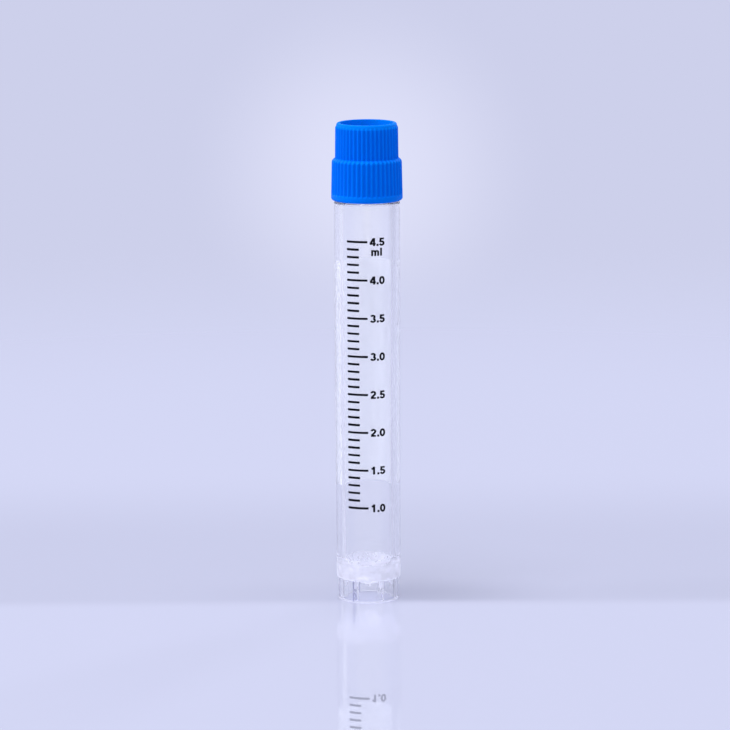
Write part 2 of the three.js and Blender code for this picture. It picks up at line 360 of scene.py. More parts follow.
tube_outline = gate_mark(tube_angles)
tube_outline += [(radius, under_dome(radius)) for radius in np.linspace(1.1, RIB_TIP - 0.25, 8)]
tube_outline += rib_zone(rib_mask) + foot_rows() + body_rows()
tube_outline += neck_rows(tube_angles) + bore_rows()
tube = skin("tube_moulding", tube_angles, tube_outline)

# %% [markdown]
# ## The gasket
#
# A flat silicone ring sits between the tube's mouth and the cap. It is moulded, so all its edges are
# softly round. A ring primitive would be too round in its section. Here the skin is looped: its last
# row closes on its first, and each corner of the section is an arc of its own.

# %% Gasket
GASKET_BORE = 4.55
GASKET_EDGE = 0.12
GASKET_COLUMNS = 96


def gasket_rows():
    """The section of the ring, corner by corner, with both ends of each arc."""
    rim, hole = gasket_high.x - GASKET_EDGE, GASKET_BORE + GASKET_EDGE
    low, high = gasket_low.z + GASKET_EDGE, gasket_high.z - GASKET_EDGE
    rows = []
    for radius, height, start in ((rim, low, -90), (rim, high, 0), (hole, high, 90), (hole, low, 180)):
        rows += arc((radius, height), GASKET_EDGE, start, start + 90, 5)
        rows += arc((radius, height), GASKET_EDGE, start + 90, start + 90, 1)
    return rows


ring_angles = np.linspace(0, 2 * math.pi, GASKET_COLUMNS, endpoint=False)
gasket = skin("gasket_ring", ring_angles, gasket_rows(), looped=True)

# %% [markdown]
# ## The cap
#
# The cap has two tiers of 45 narrow ribs, a plain rim above them and a plain band below. The upper
# ribs run out under the rim, and the grooves of the lower tier run up into the cone between the
# tiers, which gives that cone its scalloped edge. Ribs are added to a root radius and then cut off by
# the outline of the whole cap. Inside are the thread, a ring that plugs the mouth, and on top an open
# recess for a colour insert.

# %% Cap sizes
RIBS = 45
RIB_HEIGHT = 0.2
CAP_TOP = cap_high.z
CAP_BOTTOM = cap_low.z
CAP_RADIUS = -cap_low.y
LOWER_ROOT = CAP_RADIUS - 0.35
LOWER_DRAFT = 0.15
CAP_EDGE = 0.5
BAND_TOP = CAP_BOTTOM + 1.3
BAND_EASE = 0.22
BAND_DRAFT = 0.012
TIER_STEP = CAP_BOTTOM + 7.5
UPPER_BOTTOM = TIER_STEP + 0.65
UPPER_ROOT = 5.75
UPPER_DRAFT = 0.08
RIM_BOTTOM = CAP_TOP - 0.5
RIM_ROUNDING = 0.4
RIB_RUN_OUT = 0.45
RECESS_RADIUS = 5.05
RECESS_DRAFT = 0.1
RECESS_FLOOR = CAP_TOP - 5.0
RECESS_ROUNDING = 0.3
WEB_UNDERSIDE = RECESS_FLOOR - 1.15
WEB_FILLET = 0.2
PLUG_RADIUS = 4.45
PLUG_WALL = 1.0
PLUG_BOTTOM = MOUTH - 2.4
PLUG_EDGE = 0.1
PLUG_CHAMFER = 0.35
POCKET_RADIUS = gasket_high.x + 0.05
THREAD_ROOT = NECK_RADIUS + RIDGE_HEIGHT + 0.13
CAP_CROSSING = NECK_CROSSING - 0.889
CAP_THREAD_LOWEST = CAP_BOTTOM + 1.2
CAP_THREAD_RISE = 4.3
CAP_THREAD_ROWS = 76
print("cap", round(CAP_TOP - CAP_BOTTOM, 2), "mm high,", round(2 * CAP_RADIUS, 2), "mm across")

# %% Cap columns
PITCH = 2 * math.pi / RIBS
RIB_SPREAD = 0.38
RIB_SAMPLES = np.array([-0.5, -0.34, -0.24, -0.15, -0.06, 0.06, 0.15, 0.24, 0.34])
cap_angles = np.concatenate([(i + RIB_SAMPLES) * PITCH for i in range(RIBS)]) - math.pi / 2
swell = np.cos(np.minimum(np.abs(RIB_SAMPLES) / RIB_SPREAD, 1) * math.pi / 2) ** 2
RIB_OUT = RIB_HEIGHT * np.tile(swell / swell.max(), RIBS)
print(len(cap_angles), "columns round the cap, ribs up to", RIB_OUT.max(), "mm high")


# %% Outside of the cap, below
def lower_root(height):
    """Radius of the grooves between the lower ribs, which widen downwards."""
    return LOWER_ROOT + LOWER_DRAFT * (TIER_STEP - height) / (TIER_STEP - CAP_BOTTOM - CAP_EDGE)


def upper_root(height):
    """Radius of the grooves between the upper ribs."""
    return UPPER_ROOT + UPPER_DRAFT * (RIM_BOTTOM - height) / (RIM_BOTTOM - UPPER_BOTTOM)


def band_rows():
    """Rows from the bottom edge up the plain band, out of which the lower ribs rise."""
    start = BAND_TOP - BAND_EASE
    rows = arc((CAP_RADIUS - CAP_EDGE, CAP_BOTTOM + CAP_EDGE), CAP_EDGE, -90, 0, 9)
    rows += straight((CAP_RADIUS, CAP_BOTTOM + CAP_EDGE), (CAP_RADIUS - BAND_DRAFT, start), 3)
    for share in (0, 0.25, 0.5, 0.75):
        height = start + 0.26 * share
        plain = CAP_RADIUS - BAND_DRAFT - 0.02 * share
        ribbed = np.minimum(lower_root(height) + RIB_OUT, plain)
        rows.append((plain + (ribbed - plain) * smooth(0, 1, share), height))
    return rows


def lower_rib_rows():
    """Rows up the lower ribs, no further out than the band."""
    heights = np.linspace(BAND_TOP + 0.04, TIER_STEP - 0.16, 7)
    return [(np.minimum(CAP_RADIUS, lower_root(height) + RIB_OUT), height) for height in heights]


# %% Outside of the cap, above
def cone_rows():
    """Rows over the cone between the tiers, into which the lower grooves run up."""
    lower_crest = lower_root(TIER_STEP) + RIB_HEIGHT
    upper_crest = upper_root(UPPER_BOTTOM) + RIB_HEIGHT
    slope = (upper_crest - lower_crest) / (UPPER_BOTTOM - TIER_STEP)
    rows = []
    for height in np.linspace(TIER_STEP - 0.1, UPPER_BOTTOM, 13):
        corner = lower_crest + slope * (height - TIER_STEP)
        rounded = lower_crest - 0.05 * math.exp(-((height - TIER_STEP) / 0.07) ** 2)
        grooved = np.minimum(min(corner, rounded), lower_root(height) + RIB_OUT)
        settled = np.minimum(grooved, upper_root(height) + RIB_OUT)
        share = smooth(UPPER_BOTTOM - 0.3, UPPER_BOTTOM, height)
        rows.append((grooved * (1 - share) + settled * share, height))
    return rows


def upper_rib_rows():
    """Rows up the upper ribs, which run out under the rim."""
    heights = np.linspace(UPPER_BOTTOM + 0.07, RIM_BOTTOM - RIB_RUN_OUT, 6)
    rows = [(upper_root(height) + RIB_OUT, height) for height in heights]
    for share in (0.1, 0.25, 0.4, 0.55, 0.7, 0.85, 1.0):
        height = RIM_BOTTOM - RIB_RUN_OUT * (1 - share)
        rows.append((upper_root(height) + RIB_OUT * (1 - share**1.6), height))
    return rows


def recess_rows():
    """Rows over the rim and down the recess to the low stub in the middle of its floor."""
    lip = RECESS_ROUNDING / 2
    edge = UPPER_ROOT - RIM_ROUNDING
    foot = RECESS_RADIUS - RECESS_DRAFT
    rows = straight((UPPER_ROOT, RIM_BOTTOM + 0.04), (UPPER_ROOT, CAP_TOP - RIM_ROUNDING), 2)
    rows += arc((edge, CAP_TOP - RIM_ROUNDING), RIM_ROUNDING, 0, 90, 8)
    rows += straight((edge, CAP_TOP), (RECESS_RADIUS + lip, CAP_TOP), 2)
    rows += arc((RECESS_RADIUS + lip, CAP_TOP - lip), lip, 90, 180, 5)
    rows += straight((RECESS_RADIUS, CAP_TOP - lip), (foot, RECESS_FLOOR + RECESS_ROUNDING), 5)
    rows += arc((foot - RECESS_ROUNDING, RECESS_FLOOR + RECESS_ROUNDING), RECESS_ROUNDING, 0, -90, 5)
    rows += straight((foot - RECESS_ROUNDING, RECESS_FLOOR), (1.3, RECESS_FLOOR), 4)
    rows += [(1.2, RECESS_FLOOR - 0.02), (1.12, RECESS_FLOOR - 0.08), (0.55, RECESS_FLOOR - 0.08)]
    return rows + [(0.5, RECESS_FLOOR + 0.05), (0.3, RECESS_FLOOR + 0.1), (0.0, RECESS_FLOOR + 0.1)]


# %% Inside of the cap
def plug_rows():
    """Rows from the middle of the web's underside round the ring that plugs the mouth."""
    web = WEB_UNDERSIDE
    bore = PLUG_RADIUS - PLUG_WALL
    rows = [(0.0, web)]
    rows += straight((0.3, web), (bore - WEB_FILLET, web), 3)
    rows += arc((bore - WEB_FILLET, web - WEB_FILLET), WEB_FILLET, 90, 0, 4)
    rows += straight((bore, web - WEB_FILLET), (bore, PLUG_BOTTOM + PLUG_EDGE), 5)
    rows += arc((bore + PLUG_EDGE, PLUG_BOTTOM + PLUG_EDGE), PLUG_EDGE, 180, 270, 3)
    rows += [(bore + PLUG_EDGE, PLUG_BOTTOM), (PLUG_RADIUS - PLUG_CHAMFER, PLUG_BOTTOM)]
    rows += [(PLUG_RADIUS - 0.05, PLUG_BOTTOM + PLUG_CHAMFER - 0.05)]
    return rows + straight((PLUG_RADIUS, PLUG_BOTTOM + PLUG_CHAMFER + 0.05), (PLUG_RADIUS, web), 5)


def threaded_rows(angles):
    """Rows from the gasket's pocket down the threaded wall to the bottom edge."""
    lead = RIDGE_HEIGHT / 2
    first, last = MOUTH - MOUTH_ROUNDING - 0.1, CAP_BOTTOM + lead + 0.05
    highest = CAP_THREAD_LOWEST + CAP_THREAD_RISE
    rows = straight((PLUG_RADIUS, WEB_UNDERSIDE), (POCKET_RADIUS, WEB_UNDERSIDE), 2)
    rows += straight((POCKET_RADIUS, WEB_UNDERSIDE), (POCKET_RADIUS, gasket_low.z), 3)
    rows += [(POCKET_RADIUS, gasket_low.z), (THREAD_ROOT - 0.1, MOUTH - MOUTH_ROUNDING + 0.04)]
    for height in np.linspace(first, last, CAP_THREAD_ROWS):
        inward = ridge(angles, height, CAP_CROSSING, CAP_THREAD_LOWEST, highest)
        rows.append((THREAD_ROOT - inward, height))
    rows += [(THREAD_ROOT + 0.06, CAP_BOTTOM + lead - 0.06), (THREAD_ROOT + lead, CAP_BOTTOM + 0.03)]
    return rows + [(THREAD_ROOT + lead + 0.03, CAP_BOTTOM)]


# %% Cap
cap_outline = plug_rows() + threaded_rows(cap_angles)
cap_outline += band_rows() + lower_rib_rows() + cone_rows() + upper_rib_rows() + recess_rows()
cap = skin("cap_moulding", cap_angles, cap_outline)

# %% [markdown]
# ## Printed ink
#
# The scale is screen-printed on the tube: a tick for each 0.1 ml, a longer one for each 0.5 ml, and
# the numbers beside them. Printed ink is a film with a thickness of its own. It could be painted into
# the tube's material, but in clear plastic the ink has to lie on the outside only, and the wall has
# to bend its image. So each mark is a thin closed film that lies a hair off the wall.

# %% Ink sizes
INK_GAP = 0.006
INK_THICKNESS = 0.014
INK_OUTSIDE = INK_GAP + INK_THICKNESS
TICK_STEP = 1.4663
SCALE_TOP = 69.985
SCALE_START = 4.5
TICKS = 36
LONG_EVERY = 5
TICK_START = -127.8
SHORT_END = -104.6
LONG_END = -89.6
TICK_HALF = 0.215
TICK_CORNER = 0.07
HALF_SLACK = 0.05
SLIP_SLACK = 0.15
print("scale from", SCALE_START, "down to", SCALE_START - (TICKS - 1) / 10, "ml")


# %% Films round the tube
def on_tube(angle, height, lift):
    """A point near the tube's outside, in metres."""
    radius = body_radius(height) + lift
    return (radius * math.cos(angle) * MM, radius * math.sin(angle) * MM, height * MM)


def loft(work, loops, closed=False):
    """Joins loops of four corners into one film, and shuts its ends unless it closes on itself."""
    pairs = list(zip(loops, loops[1:])) + ([(loops[-1], loops[0])] if closed else [])
    for one, two in pairs:
        for k in range(4):
            work.faces.new((one[k], one[(k + 1) % 4], two[(k + 1) % 4], two[k]))
    if not closed:
        work.faces.new(loops[0][::-1])
        work.faces.new(loops[-1])


def bar(work, start, end, low, high, corner, step=1.2):
    """Adds a closed film from one angle to another in degrees, with its corners rounded off."""
    reach = math.degrees(corner / BODY_RADIUS)
    inner = max(2, round((end - start - 2 * reach) / step))
    rounding = [(share, corner * (1 - math.sqrt(1 - (1 - share) ** 2))) for share in (0, 0.12, 0.4)]
    places = [(start + reach * share, taken) for share, taken in rounding]
    places += [(start + reach + (end - start - 2 * reach) * i / inner, 0) for i in range(inner + 1)]
    places += [(end - reach * share, taken) for share, taken in reversed(rounding)]
    loops = []
    for angle, taken in places:
        top, bottom = high - taken, low + taken
        section = [(top, INK_OUTSIDE), (bottom, INK_OUTSIDE), (bottom, INK_GAP), (top, INK_GAP)]
        loops.append([work.verts.new(on_tube(math.radians(angle), z, lift)) for z, lift in section])
    loft(work, loops)


def film(name, work):
    """Closes the work and shows it as one piece."""
    bmesh.ops.recalc_face_normals(work, faces=work.faces)
    mesh = bpy.data.meshes.new(name)
    work.to_mesh(mesh)
    work.free()
    return show(name, mesh)


# %% Ticks
hand = random.Random(11)
work = bmesh.new()
for tick in range(TICKS):
    middle = SCALE_TOP - tick * TICK_STEP
    end = LONG_END if tick % LONG_EVERY == 0 else SHORT_END
    half = TICK_HALF * (1 + hand.uniform(-HALF_SLACK, HALF_SLACK))
    slip = hand.uniform(-SLIP_SLACK, SLIP_SLACK)
    bar(work, TICK_START + slip, end + slip, middle - half, middle + half, TICK_CORNER)
ticks = film("scale_ticks", work)

# %% [markdown]
# ## The writing field
#
# A white field to write on is printed on the far side in the same way, half round the tube. From the
# front it shows only through the plastic, whose walls widen it and bend its lower edge, so it is
# placed by its true angles and not by how it looks. Angles count from the right flank, backwards.

# %% Writing field
FIELD_START = 9.0
FIELD_END = 186.0
FIELD_LOW = 22.1
FIELD_HIGH = 65.4
FIELD_CORNER = 0.25
FIELD_STEP = 1.5
work = bmesh.new()
bar(work, FIELD_START, FIELD_END, FIELD_LOW, FIELD_HIGH, FIELD_CORNER, step=FIELD_STEP)
field = film("writing_patch", work)

# %% [markdown]
# ## The numbers
#
# The digits are bold and upright, and only a few of them are needed. Blender has letters of its own,
# but they are thin, and a long triangle of a flat letter would cut through the curve of the wall. So
# each digit is written as a sign painter does it, with strokes of a flat pen: straight lines and bows
# in a box one digit high, laid round the tube in short steps.

# %% Strokes of the digits
PEN = 0.27
LOW, HIGH = 0.41 * PEN, 1 - 0.41 * PEN
DIGIT_ADVANCE = 0.83
ADVANCE = {".": 0.36, "m": 1.1, "l": 0.4}


def bow(centre, size, start, end, steps=12):
    """Points along an ellipse, from one angle to another in degrees."""
    angles = np.radians(np.linspace(start, end, steps + 1))
    return [(centre[0] + size[0] * math.cos(a), centre[1] + size[1] * math.sin(a)) for a in angles]


STROKES = {
    "0": [bow((0.38, 0.5), (0.25, HIGH - 0.5), 0, 360, 28)],
    "1": [[(0.44, 0), (0.44, 1)], [(0.40, 0.86), (0.30, 0.76), (0.12, 0.70)]],
    "2": [
        bow((0.38, 0.68), (0.235, HIGH - 0.68), 172, -38) + [(0.17, 0.18)],
        [(0.07, LOW), (0.71, LOW)],
    ],
    "3": [
        bow((0.37, 0.725), (0.22, HIGH - 0.725), 163, -80),
        bow((0.37, 0.3), (0.26, 0.3 - LOW), 84, -164),
    ],
    "4": [[(0.56, 0), (0.56, 1)], [(0.02, 0.28), (0.77, 0.28)], [(0.10, 0.30), (0.49, 0.92)]],
    "5": [
        [(0.17, HIGH), (0.68, HIGH)],
        [(0.23, 1), (0.17, 0.46)],
        bow((0.37, 0.33), (0.255, 0.33 - LOW), 140, -165),
    ],
    ".": [[(0.17, 0), (0.17, PEN)]],
    "m": [
        [(0.15, 0), (0.15, 0.75)],
        bow((0.345, 0.45), (0.195, 0.75 - LOW - 0.45), 165, 0) + [(0.54, 0)],
        bow((0.735, 0.45), (0.195, 0.75 - LOW - 0.45), 165, 0) + [(0.93, 0)],
    ],
    "l": [[(0.22, 0), (0.22, 1)]],
}
print(len(STROKES), "signs in", sum(len(strokes) for strokes in STROKES.values()), "strokes")

# %% Strokes round the tube
STROKE_STEP = 0.16
LYING_STROKE = 0.82
SHARPEST_TURN = 0.6
SAME_POINT = 1e-6


def finely(points, step):
    """The same line with points no further apart than a step."""
    fine = [points[0]]
    for one, two in zip(points, points[1:]):
        parts = max(1, math.ceil(math.dist(one, two) / step))
        fine += [tuple(a + (b - a) * i / parts for a, b in zip(one, two)) for i in range(1, parts + 1)]
    return fine


def pen_stroke(work, points, width):
    """Adds a closed film along points of (way round, height) in mm, with square ends."""
    line = np.array(finely(points, STROKE_STEP))
    closed = math.dist(line[0], line[-1]) < SAME_POINT
    line = line[:-1] if closed else line
    ahead = np.roll(line, -1, axis=0) - line
    behind = line - np.roll(line, 1, axis=0)
    if not closed:
        ahead[-1], behind[0] = behind[-1], ahead[0]
    ahead /= np.linalg.norm(ahead, axis=1)[:, None]
    behind /= np.linalg.norm(behind, axis=1)[:, None]
    along = ahead + behind
    along /= np.linalg.norm(along, axis=1)[:, None]
    flat = LYING_STROKE + (1 - LYING_STROKE) * np.abs(along[:, 1])
    reach = width / 2 * flat / np.maximum((along * ahead).sum(axis=1), SHARPEST_TURN)
    side = np.stack([-along[:, 1], along[:, 0]], axis=1) * reach[:, None]
    loops = []
    for one, two in zip(line + side, line - side):
        section = ((one, INK_OUTSIDE), (two, INK_OUTSIDE), (two, INK_GAP), (one, INK_GAP))
        places = [on_tube(way / BODY_RADIUS, z, lift) for (way, z), lift in section]
        loops.append([work.verts.new(place) for place in places])
    loft(work, loops, closed)


# %% Numbers
LABEL_START = -85.9
LABEL_HEIGHT = 1.54
UNIT_START = -83.4
UNIT_DROP = 2.65
UNIT_HEIGHT = 1.5
UNIT_PEN = 0.26


def print_word(work, text, start, foot, size, pen=PEN):
    """Adds a word to the work from an angle in degrees, standing on a height in mm."""
    way = math.radians(start) * BODY_RADIUS
    for letter in text:
        for stroke in STROKES[letter]:
            pen_stroke(work, [(way + x * size, foot + y * size) for x, y in stroke], pen * size)
        way += ADVANCE.get(letter, DIGIT_ADVANCE) * size


work = bmesh.new()
for tick in range(0, TICKS, LONG_EVERY):
    label = f"{SCALE_START - tick / 10:.1f}"
    foot = SCALE_TOP - tick * TICK_STEP - LABEL_HEIGHT / 2
    print_word(work, label, LABEL_START, foot, LABEL_HEIGHT)
print_word(work, "ml", UNIT_START, SCALE_TOP - UNIT_DROP, UNIT_HEIGHT, pen=UNIT_PEN)
numbers = film("scale_numbers", work)

# %% [markdown]
# ## Materials in Python
#
# Every material is a small web of nodes. Wiring it by hand takes three lines for each sum, so one
# class wraps a socket and gives it Python's own signs: an expression then adds its Math nodes. Any
# other node comes from one method, which takes the kind, its settings and what its sockets get.

# %% Sockets
class Signal:
    """What comes out of one node, ready for sums."""

    def __init__(self, finish, output):
        self.finish = finish
        self.output = output

    def math(self, operation, first, second):
        return self.finish.node("ShaderNodeMath", {"operation": operation}, {0: first, 1: second})

    def __add__(self, other):
        return self.math("ADD", self, other)

    def __sub__(self, other):
        return self.math("SUBTRACT", self, other)

    def __rsub__(self, other):
        return self.math("SUBTRACT", other, self)

    def __mul__(self, other):
        return self.math("MULTIPLY", self, other)

    __radd__ = __add__
    __rmul__ = __mul__


# %% Finishes
class Finish:
    """A material or a world, made node by node."""

    def __init__(self, owner):
        owner.use_nodes = True
        self.owner = owner
        self.tree = owner.node_tree
        self.tree.nodes.clear()

    def node(self, kind, settings=None, sockets=None, out=0):
        """Any node: its settings are made first, then each socket gets its value or link."""
        made = self.tree.nodes.new(kind)
        for name, value in (settings or {}).items():
            setattr(made, name, value)
        for name, value in (sockets or {}).items():
            self.put(value, made.inputs[name])
        return Signal(self, made.outputs[out])

    def put(self, value, socket):
        """Gives a socket a link, a number or a colour."""
        if isinstance(value, Signal):
            self.tree.links.new(value.output, socket)
        elif hasattr(value, "__len__") and len(value) < len(socket.default_value):
            socket.default_value = (*value, 1.0)
        else:
            socket.default_value = value

    def close(self, surface):
        """Ends the web in this shader, and gives the finished material or world back."""
        kind = "World" if isinstance(self.owner, bpy.types.World) else "Material"
        end = self.tree.nodes.new("ShaderNodeOutput" + kind)
        self.put(surface, end.inputs["Surface"])
        print(self.owner.name, len(self.tree.nodes), "nodes")
        return self.owner

    def blend(self, share, first, second):
        """A colour between two colours."""
        settings = {"data_type": "RGBA", "clamp_factor": True}
        return self.node("ShaderNodeMix", settings, {0: share, 6: first, 7: second}, out=2)

    def layer(self, share, first, second):
        """A share of the second shader over the first."""
        return self.node("ShaderNodeMixShader", None, {0: share, 1: first, 2: second})

    def ramp(self, value, low, high, to_low=0.0, to_high=1.0):
        """The value eased from one range to another."""
        settings = {"interpolation_type": "SMOOTHSTEP"}
        sockets = {"Value": value, "From Min": low, "From Max": high, "To Min": to_low, "To Max": to_high}
        return self.node("ShaderNodeMapRange", settings, sockets)

    def unsigned(self, value):
        """The value without its sign."""
        return self.node("ShaderNodeMath", {"operation": "ABSOLUTE"}, {0: value})

    def split(self, vector, axis):
        """One coordinate of a vector."""
        return self.node("ShaderNodeSeparateXYZ", None, {0: vector}, out=axis)

    def place(self):
        """Where a point lies on its piece, in metres."""
        return self.node("ShaderNodeTexCoord", out=3)

    def part(self, axis):
        """One coordinate of that place, in metres."""
        return self.split(self.place(), axis)

    def radius(self):
        """Distance from the axis, in metres."""
        flat = self.node("ShaderNodeVectorMath", {"operation": "MULTIPLY"}, {0: self.place(), 1: (1, 1, 0)})
        return self.node("ShaderNodeVectorMath", {"operation": "LENGTH"}, {0: flat}, out=1)

    def around(self, count):
        """A wave round the axis, so many times for one turn, that is 0 at the front."""
        sockets = {0: self.part(0), 1: 0 - self.part(1)}
        angle = self.node("ShaderNodeMath", {"operation": "ARCTAN2"}, sockets)
        return 0.5 - 0.5 * self.node("ShaderNodeMath", {"operation": "COSINE"}, {0: angle * count})

    def between(self, low, high):
        """1 between two heights in mm, and 0 beyond them."""
        height = self.part(2)
        above = self.ramp(height, (low - 0.05) * MM, (low + 0.15) * MM)
        return above * self.ramp(height, high * MM, (high - 0.3) * MM)

    def noise(self, scale, detail=2.0, roughness=0.5):
        """Soft random clouds, from 0 to 1, so many for each metre."""
        sockets = {"Vector": self.place(), "Scale": scale, "Detail": detail, "Roughness": roughness}
        return self.node("ShaderNodeTexNoise", None, sockets)

    def bump(self, height, distance, strength=1.0):
        """A normal that shows the height as relief."""
        sockets = {"Height": height, "Distance": distance, "Strength": strength}
        return self.node("ShaderNodeBump", None, sockets)


def linear(red, green, blue):
    """A colour as a paint chart gives it, from 0 to 255, in the light that a renderer reckons with."""
    shares = [c / 255 for c in (red, green, blue)]
    return tuple(c / 12.92 if c <= 0.04045 else ((c + 0.055) / 1.055) ** 2.4 for c in shares)


# %% [markdown]
# ## Zones of the tube
#
# The tube is clear polypropylene copolymer, smooth and only slightly hazy along the body. Elsewhere
# it is less clear. The round bottom of the bore is matt and mottled, and the outside of the thick
# bottom is frosted. On the shoulder's rounding, where it turns away at the sides, a white is painted
# as a highlight over the shade under the cap. The locking ribs get a painted shade, strongest on the
# left. Masks could be painted, but the tube is a turned body, so height, radius and angle find each
# zone exactly. Each function here gives one mask.

# %% Masks of the tube
MATT_TOP = 8.1
MATT_BOTTOM = 2.3
MATT_RADIUS = 4.8
FROST_TOP = 8.4
FROST_FULL = 6.4


def inside(finish):
    """1 within the bore and the skirt, and 0 on the outside."""
    return finish.ramp(finish.radius(), (MATT_RADIUS + 0.1) * MM, (MATT_RADIUS - 0.1) * MM)


def round_bottom(finish):
    """1 on the round bottom, up to an uneven edge."""
    height = finish.part(2)
    edge = MATT_TOP * MM + (finish.noise(260) - 0.5) * (0.8 * MM)
    below = finish.ramp(height - edge, 0.12 * MM, -0.12 * MM)
    return below * inside(finish) * finish.ramp(height, MATT_BOTTOM * MM, (MATT_BOTTOM + 0.3) * MM)


def frosted_outside(finish):
    """1 on the outside of the thick bottom, and less further up."""
    height = finish.part(2)
    fading = finish.ramp(height, FROST_TOP * MM, FROST_FULL * MM)
    fading = fading * finish.ramp(height, (FOOT_HEIGHT - 0.2) * MM, FOOT_HEIGHT * MM)
    return fading * (1 - inside(finish))


def painted_rib_shade_mask(finish):
    """Painted shade on the locking ribs: 1 on those of the left side, and a trace on those of the right."""
    ribs = finish.ramp(finish.around(FOOT_RIBS), 0.985, 0.994)
    ribs = ribs * finish.ramp(finish.part(2), 4.2 * MM, 4.0 * MM)
    return ribs * finish.ramp(finish.part(0), 2.0 * MM, -1.0 * MM, 0.2, 1.0)


def painted_shoulder_light(finish):
    """Painted highlight on the shoulder's rounding: 1 where it turns away to the left and the right."""
    height = finish.part(2)
    rounding = finish.ramp(height, (SHOULDER - 0.35) * MM, (SHOULDER - 0.2) * MM)
    rounding = rounding * finish.ramp(height, (SHOULDER + 0.2) * MM, (SHOULDER + 0.1) * MM)
    to_the_sides = finish.ramp(finish.unsigned(finish.part(0)), 3.6 * MM, 5.2 * MM)
    return rounding * (1 - inside(finish)) * to_the_sides


# %% [markdown]
# ## Clear plastic
#
# Light is bent by a Principled surface with full transmission. Where the plastic is milky, a share of
# plain white lies over it. Along the edge that it stands on, that white is a scuff and, stronger at the
# front, a painted highlight, and on the shoulder's rounding at the sides it is a painted highlight over
# the shade under the cap. Half of that white faces the light and half lets it through, and on the
# shoulder all of it lets light through. A volume would be truer, but it renders slowly and full of
# noise. For the lamps' shadow rays the surface turns into a faint tint, because such thin clear
# plastic lets nearly all their light through. The locking ribs get a painted shade.

# %% Clear plastic
CLEAR = (0.995, 0.997, 1.0)
PAINTED_RIB_SHADE = (0.42, 0.43, 0.62)
MILK = (0.86, 0.865, 0.975)
PASSING_LIGHT = (0.96, 0.962, 0.97)
PLASTIC_IOR = 1.49
BODY_HAZE = 0.02


def clear_plastic():
    finish = Finish(bpy.data.materials.new("clear_plastic"))
    height = finish.part(2)
    mottle = finish.noise(1100, detail=3)
    matt = round_bottom(finish)
    frosted = frosted_outside(finish)
    # The shoulder's white at the sides is a painted highlight over the shade under the cap.
    shoulder_light = painted_shoulder_light(finish)
    surface = finish.node("ShaderNodeBsdfPrincipled", None, {
        # Painted shade on the locking ribs.
        "Base Color": finish.blend(painted_rib_shade_mask(finish), CLEAR, PAINTED_RIB_SHADE),
        "Roughness": finish.ramp(mottle, 0.35, 0.65, 0.22, 0.42) * matt + frosted * 0.16 + 0.02,
        "IOR": PLASTIC_IOR,
        "Transmission Weight": 1.0,
        "Normal": finish.bump(finish.noise(420) * 0.25 + 1.2 * mottle * matt, 0.004 * MM, 0.3),
    })
    near_side = finish.node("ShaderNodeBsdfDiffuse", None, {"Color": MILK})
    far_side = finish.node("ShaderNodeBsdfTranslucent", None, {"Color": MILK})
    milk = finish.layer(0.5 + 0.5 * shoulder_light, near_side, far_side)
    # The standing edge is scuffed white, and the white is stronger at the front as a painted highlight.
    scuff_and_highlight = finish.ramp(height, 0.3 * MM, 0.1 * MM)
    scuff_and_highlight = scuff_and_highlight * finish.ramp(finish.part(1), 2 * MM, -1 * MM, 0.2, 0.6)
    speckle = finish.ramp(finish.noise(620, detail=3), 0.38, 0.62, 0.33, 0.46)
    cloudy = (speckle + 0.06) * matt + (speckle + 0.11) * frosted + scuff_and_highlight + shoulder_light * 0.85 + BODY_HAZE
    hazy = finish.layer(cloudy, surface, milk)
    tint = finish.node("ShaderNodeBsdfTransparent", None, {"Color": PASSING_LIGHT})
    thick = finish.ramp(height, 14 * MM, 6 * MM) * 0.12
    shadow = finish.node("ShaderNodeLightPath", out=1) * (1 - thick)
    return finish.close(finish.layer(shadow, hazy, tint))


# %% [markdown]
# ## Blue plastic
#
# The cap is dyed through in a strong blue and has the satin face that a blasted mould gives. A fine
# grain in the bump breaks up the highlights, and slow changes in roughness keep large faces from
# looking painted. The grooves get a painted shade, darker than the ribs. The rim and the cone between
# the tiers get a painted highlight in a paler blue, and the recess a painted light of its own.

# %% Blue plastic
CAP_BLUE = linear(0, 116, 247)
CLOUD_BLUE = linear(0, 113, 243)
GROOVE_SHADE_BLUE = linear(0, 96, 228)
HIGHLIGHT_BLUE = linear(0, 130, 255)
RECESS_LIGHT_BLUE = linear(0, 130, 238)
SHEEN_BLUE = (0.0, 0.5, 1.0)


def blue_plastic():
    finish = Finish(bpy.data.materials.new("blue_plastic"))
    cloud = finish.noise(160, detail=2)
    grain = finish.noise(9000, detail=1)
    crest_blue = finish.blend(finish.ramp(cloud, 0.3, 0.7), CAP_BLUE, CLOUD_BLUE)
    # Painted shade in the grooves between the ribs.
    groove_shade = finish.around(RIBS) * finish.between(BAND_TOP, RIM_BOTTOM)
    # Painted highlight on the rim and on the cone between the tiers, where light from above falls.
    rim = finish.between(RIM_BOTTOM - 0.5, CAP_TOP + 0.5)
    rim = rim * finish.ramp(finish.radius(), 5.2 * MM, 5.4 * MM)
    cone = finish.between(TIER_STEP - 0.15, UPPER_BOTTOM) * (0.8 - 0.6 * finish.around(RIBS))
    painted_highlight = cone + rim * 0.75
    # Painted light in the recess: a blue of its own, paler in green than the cap's.
    recess = finish.ramp(finish.radius(), 5.25 * MM, 5.1 * MM)
    outside = finish.blend(groove_shade, crest_blue, GROOVE_SHADE_BLUE)
    surface = finish.node("ShaderNodeBsdfPrincipled", None, {
        "Base Color": finish.blend(painted_highlight, finish.blend(recess, outside, RECESS_LIGHT_BLUE), HIGHLIGHT_BLUE),
        "Roughness": finish.ramp(cloud, 0.3, 0.7, 0.46, 0.56),
        "IOR": PLASTIC_IOR,
        "Specular IOR Level": 0.05,
        "Specular Tint": SHEEN_BLUE,
        "Normal": finish.bump(grain, 0.004 * MM, 0.5),
    })
    return finish.close(surface)


